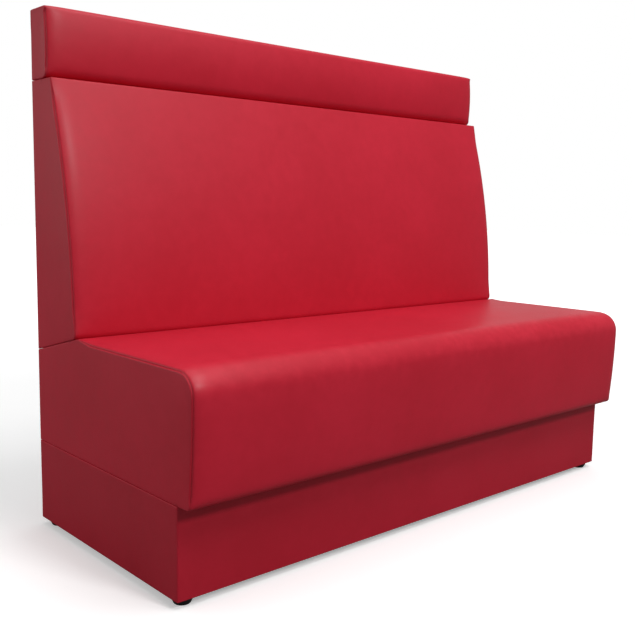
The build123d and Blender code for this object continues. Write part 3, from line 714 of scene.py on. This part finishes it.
def make_back():
    """Cover of the back's convex front, rolled over its crest and under its foot, with sides."""
    mesh = bmesh.new()
    walk = ProfileWalk(mesh, back_crest_y + back_tuck, back_top, 0)
    walk.run(back_tuck)
    walk.turn(back_crest_turn, back_crest_radius, steps=5)
    walk.run(back_crest_run)
    walk.turn(back_front_turn, back_front_radius, steps=39)
    walk.turn(pi - atan(joint_slope) - walk.heading, back_foot_radius, steps=5)
    walk.run(back_tuck)
    cover, mesh = cover_from(
        mesh, "back_vinyl", back_swelling, back_held, back_firmness, back_rise
    )
    low_z = joint_z(rear_y) + section_gap
    corners = ((rear_y - tucked, back_top - tucked), (rear_y - tucked, low_z + tucked))
    sides = [side_panel(cover, side, corners, f"back_vinyl_{hand}") for side, hand in hands]
    close_cover(cover, mesh)
    return cover, sides


# Head


def head_swelling(y, z):
    """How far the head's foam swells forwards, none at its rear."""
    return 0, -head_swell * clamp((rear_y - y) / (rear_y - head_front_y)), 0


def head_held(co):
    """Whether the head's cover is fixed there, at its rear or under its chin."""
    return co.y > rear_y - head_held_rear or co.z < back_top + head_held_chin


def head_firmness(co, way):
    """How firmly the head's cover lies, from 0 to 1: below and behind, and less on its top."""
    return max(on_board(-way.z), on_board(way.y), head_top_firmness * on_board(way.z))


def make_head():
    """Cover of the head's front and top, rolled under at the chin, with its two ends."""
    mesh = bmesh.new()
    face_tilt = pi / 2 - head_lean - head_face_turn / 2
    heading = -pi / 2 - head_rear_turn
    walk = ProfileWalk(mesh, rear_y - turned_under, height - head_rear_fall, heading)
    walk.run(head_rear_run)
    walk.turn(head_rear_turn, head_rear_radius, steps=1)
    walk.run(height - head_top_radius - walk.z)
    walk.turn(pi / 2, head_top_radius, steps=3)
    walk.run(walk.y - head_front_y - head_top_radius - head_brow_radius)
    walk.turn(face_tilt, head_brow_radius, steps=5)
    walk.turn(head_face_turn, head_face_radius, steps=9)
    walk.turn(pi - walk.heading, head_chin_radius, steps=6)
    walk.run(head_tuck)
    cover, mesh = cover_from(
        mesh, "head_vinyl", head_swelling, head_held, head_firmness, head_rise
    )
    low_z = back_top + section_gap + tucked
    corners = ((rear_y - tucked, low_z),)
    sides = [side_panel(cover, side, corners, f"head_vinyl_{hand}") for side, hand in hands]
    close_cover(cover, mesh)
    return cover, sides


# Plinth


def turn_in(mesh, line, reach):
    """Draws a rim inwards from a loop round the plinth."""
    edges = [g for g in line if isinstance(g, bmesh.types.BMEdge)]
    made = bmesh.ops.extrude_edge_only(mesh, edges=edges)["geom"]
    middle_y = (rear_y + plinth_front) / 2
    for v in [g for g in made if isinstance(g, bmesh.types.BMVert)]:
        v.co.x -= copysign(min(reach, abs(v.co.x)), v.co.x)
        v.co.y -= copysign(reach, v.co.y - middle_y)


def make_plinth():
    """Tight vinyl round the plinth's four sides, turned in over its top and bottom edges."""
    mesh = bmesh.new()
    bmesh.ops.create_grid(mesh, x_segments=1, y_segments=1, size=0.5)
    spread = (2 * half_width, rear_y - plinth_front, 1)
    bmesh.ops.scale(mesh, vec=spread, verts=mesh.verts)
    place = Vector((0, (rear_y + plinth_front) / 2, glide_height))
    bmesh.ops.translate(mesh, vec=place, verts=mesh.verts)
    bmesh.ops.bevel(
        mesh,
        geom=list(mesh.verts),
        affect="VERTICES",
        offset=plinth_corner,
        segments=4,
        profile=0.5,
        material=-1,
    )
    end_x = half_width - plinth_cut_inset
    grid_cuts(mesh, -end_x, end_x, plinth_step, 0)
    grid_cuts(mesh, plinth_front + plinth_cut_inset, rear_y - plinth_cut_inset, plinth_step, 1)
    inner = [e for e in mesh.edges if not e.is_boundary]
    bmesh.ops.delete(mesh, geom=inner, context="EDGES")
    low = list(mesh.verts) + list(mesh.edges)
    line = low
    edge_bands = (*plinth_low_bands, *plinth_high_bands)
    middle_band = plinth_top - glide_height - sum(length for length, steps in edge_bands)
    middle = (middle_band, plinth_middle_steps)
    for length, steps in (*plinth_low_bands, middle, *plinth_high_bands):
        line = straight(mesh, line, (0, 0, length), steps)
    turn_in(mesh, low, turned_in)
    turn_in(mesh, line, turned_in)
    bmesh.ops.recalc_face_normals(mesh, faces=mesh.faces)
    mesh.normal_update()
    for v in mesh.verts:
        level = clamp((v.co.z - glide_height) / (plinth_top - glide_height))
        pull = uneven(plinth_waves, *v.co)
        v.co -= v.normal * plinth_ripple * (0.5 + pull) * 4 * level * (1 - level)
    mark_seams(mesh)
    plinth = piece_from(mesh, "plinth_vinyl")
    plinth.data.update()
    round_off(plinth)
    add_wall(plinth, plinth_wall)
    return plinth


# Foam and felt inside


def foam_block(node, name, voxel):
    """Foam with softened edges, in the place of its solid."""
    mesh = bmesh.new()
    mesh.from_mesh(nodes[node].data)
    bmesh.ops.remove_doubles(mesh, verts=mesh.verts, dist=touching)
    block = piece_from(mesh, name)
    cast = block.modifiers.new("cells", "REMESH")
    cast.mode = "VOXEL"
    cast.voxel_size = voxel
    cast.use_smooth_shade = True
    soft = block.modifiers.new("soft", "SMOOTH")
    soft.factor = 0.5
    soft.iterations = foam_softening
    return block


def flat_sheet(low, high, facing, step):
    """Upright or level sheet of nearly square cells between two corners."""
    mesh = bmesh.new()
    bmesh.ops.create_grid(mesh, x_segments=1, y_segments=1, size=0.5)
    if facing.y:
        bmesh.ops.rotate(mesh, verts=mesh.verts, matrix=Matrix.Rotation(-pi / 2, 3, "X"))
    size = high - low
    spread = [size[axis] or 1 for axis in range(3)]
    bmesh.ops.scale(mesh, vec=spread, verts=mesh.verts)
    bmesh.ops.translate(mesh, vec=(low + high) / 2, verts=mesh.verts)
    bmesh.ops.recalc_face_normals(mesh, faces=mesh.faces)
    for face in list(mesh.faces):
        if face.normal.dot(facing) < 0:
            bmesh.ops.reverse_faces(mesh, faces=[face])
    for axis in range(3):
        if size[axis]:
            grid_cuts(mesh, low[axis], high[axis], step, axis)
    return mesh


def lining(node, name):
    """Black lining stapled over the open rear of a section, drawn in between its staples."""
    low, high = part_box(node)
    low = Vector((low.x + lining_inset, rear_y, low.z + lining_hem))
    high = Vector((high.x - lining_inset, rear_y, high.z - lining_hem))
    mesh = flat_sheet(low, high, Vector((0, 1, 0)), lining_step)
    for v in mesh.verts:
        across = min(v.co.x - low.x, high.x - v.co.x)
        along = min(v.co.z - low.z, high.z - v.co.z)
        edge = min(across, along)
        pitch = v.co.x if along < across else v.co.z
        pull = 0.5 - 0.5 * cos(2 * pi * pitch / staple_pitch)
        ripple = uneven(lining_waves, *v.co)
        v.co.y -= lining_slack * clamp(edge / lining_slack_reach) * (1 + ripple)
        v.co.y += staple_pull * pull * exp(-((edge / staple_pull_reach) ** 2))
    sheet = piece_from(mesh, name)
    round_off(sheet)
    add_wall(sheet, lining_wall)
    return sheet


def level_sheet(node, name, inset):
    """Level cloth or felt, pulled tight, with a slight unevenness."""
    low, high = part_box(node)
    thickness = high.z - low.z
    low = Vector((low.x + inset, low.y + inset, high.z))
    high = Vector((high.x - inset, high.y - inset, high.z))
    mesh = flat_sheet(low, high, Vector((0, 0, 1)), level_step)
    for v in mesh.verts:
        edge = min(v.co.x - low.x, high.x - v.co.x, v.co.y - low.y, high.y - v.co.y)
        ripple = uneven(level_waves, *v.co)
        v.co.z -= level_sag * thickness * (1 + ripple) * clamp(edge / level_sag_reach)
    sheet = piece_from(mesh, name)
    round_off(sheet)
    add_wall(sheet, level_wall * thickness)
    return sheet


def add_staple(mesh, x, z):
    """One wire staple, pressed on a lining a little askew."""
    tilt = staple_tilt * uneven(staple_waves, x, 0, z)
    place = Matrix.Translation((x, rear_y + staple_stand, z)) @ Matrix.Rotation(tilt, 4, "Y")
    place = place @ Matrix.Diagonal((*staple_size, 1))
    wire = bmesh.ops.create_cube(mesh, size=1, matrix=place)
    bmesh.ops.bevel(
        mesh,
        geom=list({e for v in wire["verts"] for e in v.link_edges}),
        affect="EDGES",
        offset=staple_round,
        segments=1,
        profile=0.5,
        material=-1,
    )


def staples():
    """Rows of wire staples along the borders of the rear linings."""
    mesh = bmesh.new()
    for node in rear_linings:
        low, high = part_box(node)
        length = high.x - low.x - 2 * staple_end_gap
        count = round(length / staple_pitch)
        for index in range(count + 1):
            x = low.x + staple_end_gap + length * index / count
            for z in (low.z + staple_edge_gap, high.z - staple_edge_gap):
                add_staple(mesh, x, z)
    return piece_from(mesh, "lining_staples")


# Finishes


class Socket:
    """Output of a shader node that takes part in plain sums."""

    def __init__(self, shading, output):
        self.shading = shading
        self.output = output

    def sum_with(self, operation, first, second):
        """Math node on two sockets, or on a socket and a number."""
        return self.shading.make("ShaderNodeMath", {"operation": operation}, {0: first, 1: second})

    def __add__(self, other):
        return self.sum_with("ADD", self, other)

    def __radd__(self, other):
        return self.sum_with("ADD", other, self)

    def __sub__(self, other):
        return self.sum_with("SUBTRACT", self, other)

    def __rsub__(self, other):
        return self.sum_with("SUBTRACT", other, self)

    def __mul__(self, other):
        return self.sum_with("MULTIPLY", self, other)

    def __rmul__(self, other):
        return self.sum_with("MULTIPLY", other, self)


class Shading:
    """Nodes of a material or of the surround under construction."""

    def __init__(self, holder):
        self.holder = holder
        holder.use_nodes = True
        self.tree = holder.node_tree
        self.tree.nodes.clear()

    def make(self, kind, settings, inputs, output=0):
        """Any node: its settings first, then the values or links of its sockets."""
        node = self.tree.nodes.new(kind)
        for name, value in settings.items():
            setattr(node, name, value)
        for name, value in inputs.items():
            if isinstance(value, Socket):
                self.tree.links.new(value.output, node.inputs[name])
            else:
                node.inputs[name].default_value = value
        return Socket(self, node.outputs[output])

    def either(self, share, first, second):
        """Shader between two shaders."""
        return self.make("ShaderNodeMixShader", {}, {0: share, 1: first, 2: second})

    def output(self, surface, kind="ShaderNodeOutputMaterial"):
        """Puts a shader on the surface and hands over the material or the surround."""
        out = self.tree.nodes.new(kind)
        self.tree.links.new(surface.output, out.inputs["Surface"])
        return self.holder


class Finish(Shading):
    """Material under construction, its patterns laid out in the bench's own frame."""

    def __init__(self, name):
        super().__init__(bpy.data.materials.new(name))
        self.place = self.make("ShaderNodeTexCoord", {}, {}, "Object")

    def noise(self, scale, detail=2, roughness=0.5, place=None, distortion=0.0):
        """Clouded pattern from 0 to 1."""
        inputs = {
            "Vector": place or self.place,
            "Scale": scale,
            "Detail": detail,
            "Roughness": roughness,
            "Distortion": distortion,
        }
        return self.make("ShaderNodeTexNoise", {}, inputs)

    def cells(self, scale, randomness=1.0):
        """Distance from the borders of a pattern of cells."""
        inputs = {"Vector": self.place, "Scale": scale, "Randomness": randomness}
        return self.make("ShaderNodeTexVoronoi", {"feature": "DISTANCE_TO_EDGE"}, inputs)

    def along(self, axis):
        """Place along one axis."""
        return self.make("ShaderNodeSeparateXYZ", {}, {0: self.place}, axis)

    def stretch(self, x, y, z):
        """Place stretched along the axes."""
        factors = {0: self.place, 1: (x, y, z)}
        return self.make("ShaderNodeVectorMath", {"operation": "MULTIPLY"}, factors)

    def blend(self, share, first, second):
        """Colour between two colours."""
        first = first if isinstance(first, Socket) else (*first, 1)
        second = second if isinstance(second, Socket) else (*second, 1)
        inputs = {0: share, 6: first, 7: second}
        return self.make("ShaderNodeMix", {"data_type": "RGBA"}, inputs, 2)

    def smooth(self, value, low, high):
        """Smooth rise from 0 to 1 between two limits."""
        settings = {"interpolation_type": "SMOOTHSTEP"}
        return self.make("ShaderNodeMapRange", settings, {0: value, 1: low, 2: high})

    def bump(self, value, distance, strength, under=None):
        """Relief of a value, on top of the relief under it."""
        inputs = {"Strength": strength, "Distance": distance, "Height": value}
        if under:
            inputs["Normal"] = under
        return self.make("ShaderNodeBump", {}, inputs)

    def close(self, **inputs):
        """Puts the surface shader on and hands over the material."""
        named = {name.replace("_", " "): value for name, value in inputs.items()}
        return self.output(self.make("ShaderNodeBsdfPrincipled", {}, named))


def red_vinyl():
    """Upholstery vinyl: pebbled grain, rubbed on the seat's roll, dirty and darkened with painted
    shade in the seams, and darkened with painted shade on the plinth.
    """
    finish = Finish("red_vinyl")
    y = finish.along("Y")
    z = finish.along("Z")
    seam = finish.make("ShaderNodeAttribute", {"attribute_name": "seam"}, {}, "Fac")
    cloud = finish.noise(2.6, 3, 0.55)
    fine_cloud = finish.noise(38, 3, 0.6)
    tone = finish.smooth(cloud * 0.7 + fine_cloud * 0.3, 0.3, 0.7)
    colour = finish.blend(tone, vinyl_shade, vinyl_light)
    on_roll = finish.smooth(z, *roll_front) * (1 - finish.smooth(z, *roll_top))
    on_roll = on_roll * (1 - finish.smooth(y, *roll_rear))
    rubbed = on_roll * finish.smooth(fine_cloud * 0.5 + cloud * 0.5, 0.42, 0.6)
    colour = finish.blend(rubbed * 0.35, colour, vinyl_rubbed)
    # Painted shade: the plinth below the seat is darkened, as by the shade under the seat's
    # overhang.
    plinth_painted_shade = (1 - finish.smooth(z, *plinth_shade_band)) * (0.7 + 0.3 * finish.noise(7, 4, 0.6))
    colour = finish.blend(plinth_painted_shade * 0.2, colour, vinyl_dirt_and_shade)
    # Dirt and painted shade in the seam valleys: darker near each seam.
    colour = finish.blend(seam * 0.35, colour, vinyl_dirt_and_shade)
    grain = finish.cells(620)
    pebbles = finish.smooth(grain, 0.0, 0.35)
    pores = finish.noise(1500, 2, 0.6)
    creases = finish.noise(22, 4, 0.55, distortion=0.6)
    relief = finish.bump(creases, 0.0010, 0.35)
    relief = finish.bump(pebbles * 0.8 + pores * 0.2, 0.00012, 0.5, relief)
    roughness = 0.36 + 0.10 * fine_cloud + 0.05 * (1 - pebbles) - 0.07 * rubbed + 0.18 * seam
    return finish.close(
        Base_Color=colour,
        Roughness=roughness,
        Normal=relief,
        IOR=1.5,
        Specular_IOR_Level=0.31,
        Coat_Weight=0.05,
        Coat_Roughness=0.25,
    )


def plywood():
    """Birch plywood with long grain and a few darker streaks."""
    finish = Finish("plywood")
    along = finish.stretch(1.2, 14, 14)
    rings = finish.noise(9, 5, 0.6, along, 0.8)
    fibres = finish.noise(120, 4, 0.65, finish.stretch(0.4, 6, 6))
    streak = finish.smooth(rings * 0.75 + fibres * 0.25, 0.36, 0.66)
    colour = finish.blend(streak, ply_dark, ply_pale)
    relief = finish.bump(fibres * 0.6 + rings * 0.4, 0.0003, 0.4)
    return finish.close(
        Base_Color=colour, Roughness=0.62 + 0.16 * fibres, Normal=relief, Specular_IOR_Level=0.3
    )


def foam():
    """Open-cell upholstery foam, a little yellowed."""
    finish = Finish("foam")
    pores = finish.smooth(finish.cells(900), 0.0, 0.3)
    cloud = finish.noise(6, 3)
    colour = finish.blend(cloud * 0.6 + pores * 0.4, foam_deep, foam_pale)
    relief = finish.bump(pores, 0.0006, 0.6)
    return finish.close(
        Base_Color=colour, Roughness=0.88 + 0.08 * cloud, Normal=relief, Specular_IOR_Level=0.2
    )


def felt():
    """Grey needled felt."""
    finish = Finish("felt")
    fibres = finish.noise(420, 5, 0.75, distortion=2.5)
    flecks = finish.smooth(finish.noise(160, 2), 0.62, 0.72)
    colour = finish.blend(fibres, felt_dark, felt_pale)
    colour = finish.blend(flecks * 0.5, colour, felt_fleck)
    relief = finish.bump(fibres, 0.0008, 0.7)
    return finish.close(
        Base_Color=colour,
        Roughness=0.92 + 0.05 * fibres,
        Normal=relief,
        Sheen_Weight=0.3,
        Specular_IOR_Level=0.1,
    )


def black_cloth():
    """Black bonded lining cloth with a faint point-bond pattern."""
    finish = Finish("black_cloth")
    fibres = finish.noise(600, 4, 0.7, distortion=1.5)
    points = finish.smooth(finish.cells(420, 0.15), 0.02, 0.16)
    colour = finish.blend(fibres * 0.6 + points * 0.4, cloth_dark, cloth_pale)
    relief = finish.bump(points * 0.6 + fibres * 0.4, 0.0003, 0.5)
    return finish.close(
        Base_Color=colour,
        Roughness=0.78 + 0.14 * fibres,
        Normal=relief,
        Sheen_Weight=0.25,
        Specular_IOR_Level=0.25,
    )


def bare_steel(name, dark, light, roughness, scale):
    """Drawn or plated steel with fine marks."""
    finish = Finish(name)
    marks = finish.noise(scale, 4, 0.6, finish.stretch(1, 1, 5))
    cloud = finish.noise(30, 3)
    colour = finish.blend(marks * 0.6 + cloud * 0.4, dark, light)
    relief = finish.bump(marks, 0.0001, 0.3)
    return finish.close(
        Base_Color=colour,
        Metallic=1.0,
        Roughness=roughness + 0.15 * marks,
        Normal=relief,
    )


def black_plastic():
    """Moulded black plastic, scuffed at its foot."""
    finish = Finish("black_plastic")
    at_foot = 1 - finish.smooth(finish.along("Z"), *scuff_band)
    texture = finish.noise(900, 3, 0.6)
    scuffs = finish.smooth(finish.noise(90, 4, 0.7), 0.52, 0.64) * at_foot
    colour = finish.blend(texture, plastic_dark, plastic_pale)
    colour = finish.blend(scuffs * 0.5, colour, plastic_scuffed)
    relief = finish.bump(texture, 0.00015, 0.4)
    return finish.close(
        Base_Color=colour,
        Roughness=0.42 + 0.12 * texture + 0.2 * scuffs,
        Normal=relief,
        Specular_IOR_Level=0.5,
    )


finishes = {
    "red_vinyl": red_vinyl(),
    "foam": foam(),
    "plywood": plywood(),
    "felt": felt(),
    "black_cloth": black_cloth(),
    "spring_steel": bare_steel("spring_steel", spring_dark, spring_pale, 0.38, 260),
    "zinc_steel": bare_steel("zinc_steel", zinc_dark, zinc_pale, 0.30, 400),
    "black_plastic": black_plastic(),
}


# Stage


def make_camera():
    """Camera at the photograph's place and angle."""
    flat = cos(camera_pitch)
    ahead = Vector((sin(camera_yaw) * flat, cos(camera_yaw) * flat, -sin(camera_pitch)))
    level = ahead.cross(Vector((0, 0, 1))).normalized()
    upright = level.cross(ahead)
    right = cos(camera_roll) * level + sin(camera_roll) * upright
    above = cos(camera_roll) * upright - sin(camera_roll) * level
    turned = Matrix((right, above, -ahead)).transposed().to_4x4()
    lens = bpy.data.cameras.new("camera")
    lens.lens = camera_lens
    lens.clip_start = 0.05
    lens.clip_end = 60
    camera = bpy.data.objects.new("camera", lens)
    camera.matrix_world = Matrix.Translation(camera_place) @ turned
    scene.collection.objects.link(camera)
    scene.camera = camera


def make_floor():
    """Plain pale floor that throws little of its own light back up."""
    mesh = bmesh.new()
    bmesh.ops.create_grid(mesh, x_segments=2, y_segments=2, size=floor_reach)
    floor = piece_from(mesh, "floor")
    finish = Finish("pale_floor")
    cloud = finish.noise(1.5, 2)
    pale = finish.blend(cloud, floor_grey, floor_pale)
    seen = finish.make("ShaderNodeBsdfDiffuse", {}, {"Color": pale})
    far = finish.make("ShaderNodeVectorMath", {"operation": "LENGTH"}, {0: finish.place}, "Value")
    shine = finish.blend(finish.smooth(far, glow_from, glow_to), glow_near, glow_far)
    glow = finish.make("ShaderNodeEmission", {}, {"Color": shine})
    seen = finish.make("ShaderNodeAddShader", {}, {0: seen, 1: glow})
    bounce = finish.make("ShaderNodeBsdfDiffuse", {}, {"Color": floor_bounce})
    sight = finish.make("ShaderNodeLightPath", {}, {}, "Is Camera Ray")
    floor.data.materials.append(finish.output(finish.either(sight, bounce, seen)))


def soft_light(name, place, aim, width, depth, power):
    """Rectangular soft light that faces a point."""
    lamp = bpy.data.lights.new(name, "AREA")
    lamp.shape = "RECTANGLE"
    lamp.size = width
    lamp.size_y = depth
    lamp.energy = power
    light = bpy.data.objects.new(name, lamp)
    light.location = place
    way = Vector(aim) - Vector(place)
    light.rotation_euler = way.to_track_quat("-Z", "Y").to_euler()
    scene.collection.objects.link(light)


def make_light():
    """Dim even surround that shows as a white backdrop, and five soft lights round the bench."""
    surround = Shading(bpy.data.worlds.new("surround"))
    glow, backdrop = [
        surround.make("ShaderNodeBackground", {}, {"Color": (1, 1, 1, 1), "Strength": strength})
        for strength in (surround_light, backdrop_light)
    ]
    sight = surround.make("ShaderNodeLightPath", {}, {}, "Is Camera Ray")
    shown = surround.either(sight, glow, backdrop)
    scene.world = surround.output(shown, "ShaderNodeOutputWorld")
    for name, settings in soft_lights.items():
        soft_light(name, *settings)


# Putting the bench together

make_camera()
make_floor()
make_light()

red = finishes["red_vinyl"]
for maker, node, inside in (
    (make_seat, "seat_cover", "seat_side_cover"),
    (make_back, "back_cover", "back_side_cover"),
    (make_head, "head_cover", "head_end_cover"),
):
    cover, sides = maker()
    finish_piece(cover, red, "red_vinyl", node)
    for panel, (_, hand) in zip(sides, hands):
        finish_piece(panel, red, "red_vinyl", f"{inside}_{hand}")
finish_piece(make_plinth(), red, "red_vinyl", "plinth_cover")

for node, voxel in foam_voxels.items():
    block = foam_block(node, f"{node}_block", voxel)
    finish_piece(block, finishes["foam"], "foam", node)

for node, finish_name, inset in level_sheets:
    cloth = level_sheet(node, f"{node}_sheet", inset)
    sheet = finish_piece(cloth, finishes[finish_name], finish_name, node)
for node in rear_linings:
    cloth = lining(node, f"{node}_cloth")
    sheet = finish_piece(cloth, finishes["black_cloth"], "black_cloth", node)
finish_piece(staples(), finishes["zinc_steel"], "zinc_steel")

slots = {}
for subpart in frame["record"]["subparts"]:
    slots[subpart["node"]] = subpart["material_slot"]
for name, node in nodes.items():
    if not node.hide_render:
        node.data.materials.clear()
        node.data.materials.append(finishes[slots[name]])

scene.view_settings.view_transform = "Standard"
